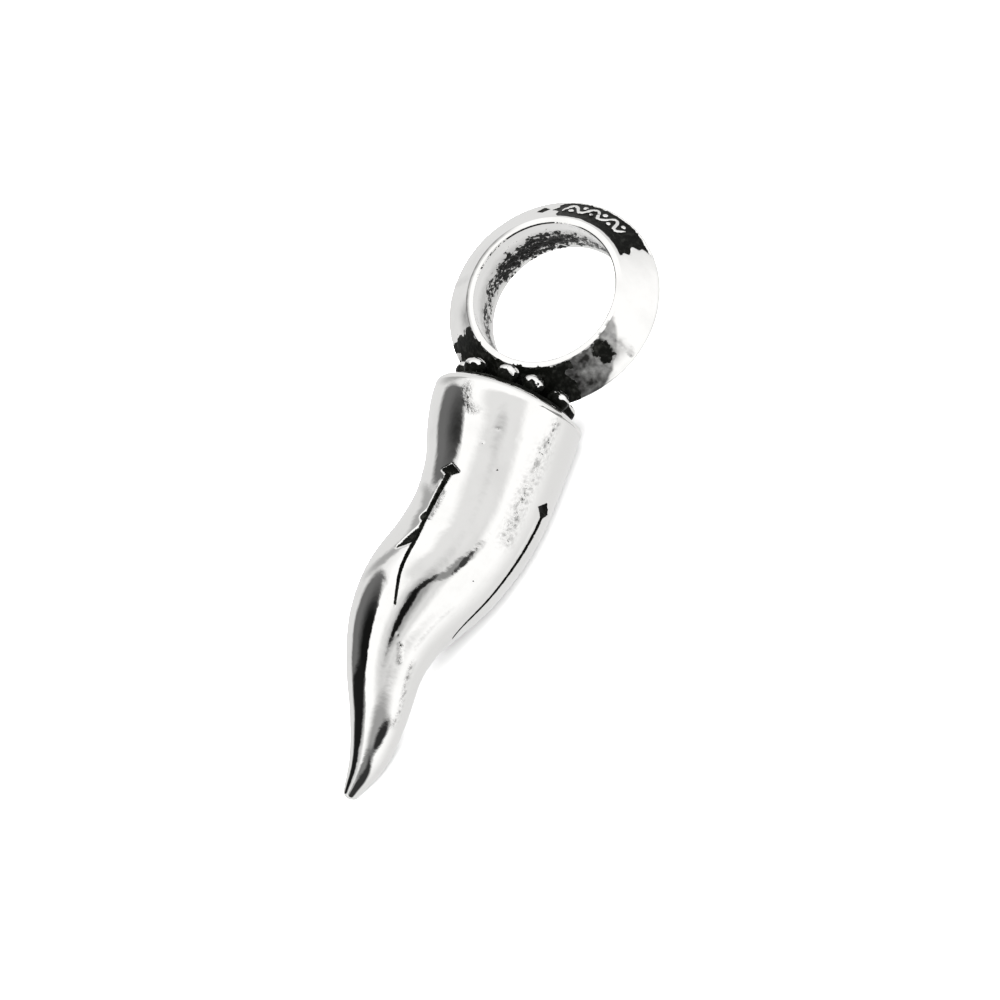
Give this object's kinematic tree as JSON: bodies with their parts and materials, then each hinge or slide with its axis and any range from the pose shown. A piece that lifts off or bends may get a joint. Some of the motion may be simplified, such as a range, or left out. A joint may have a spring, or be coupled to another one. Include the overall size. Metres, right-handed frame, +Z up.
{
  "type": "cornicello horn pendant",
  "caption": "Cast silver horn charm: an S-curved horn whose tip bends back, with engraved grooves, a granulated foot and a fixed round bail ring, lying on its belly and tip as it rests.",
  "frame": {"origin": "middle of the charm's box, on the surface it lies on", "axes": "+Y along the charm from the tip to the bail, +Z up, 17 degrees from the bail's hole"},
  "size_m": [0.0108, 0.032, 0.0079],
  "materials": {
    "silver": "polished silver, blackened in its recesses and around the bail's foot"
  },
  "bodies": {
    "root": {"horn_charm": "silver"}
  },
  "joints": []
}
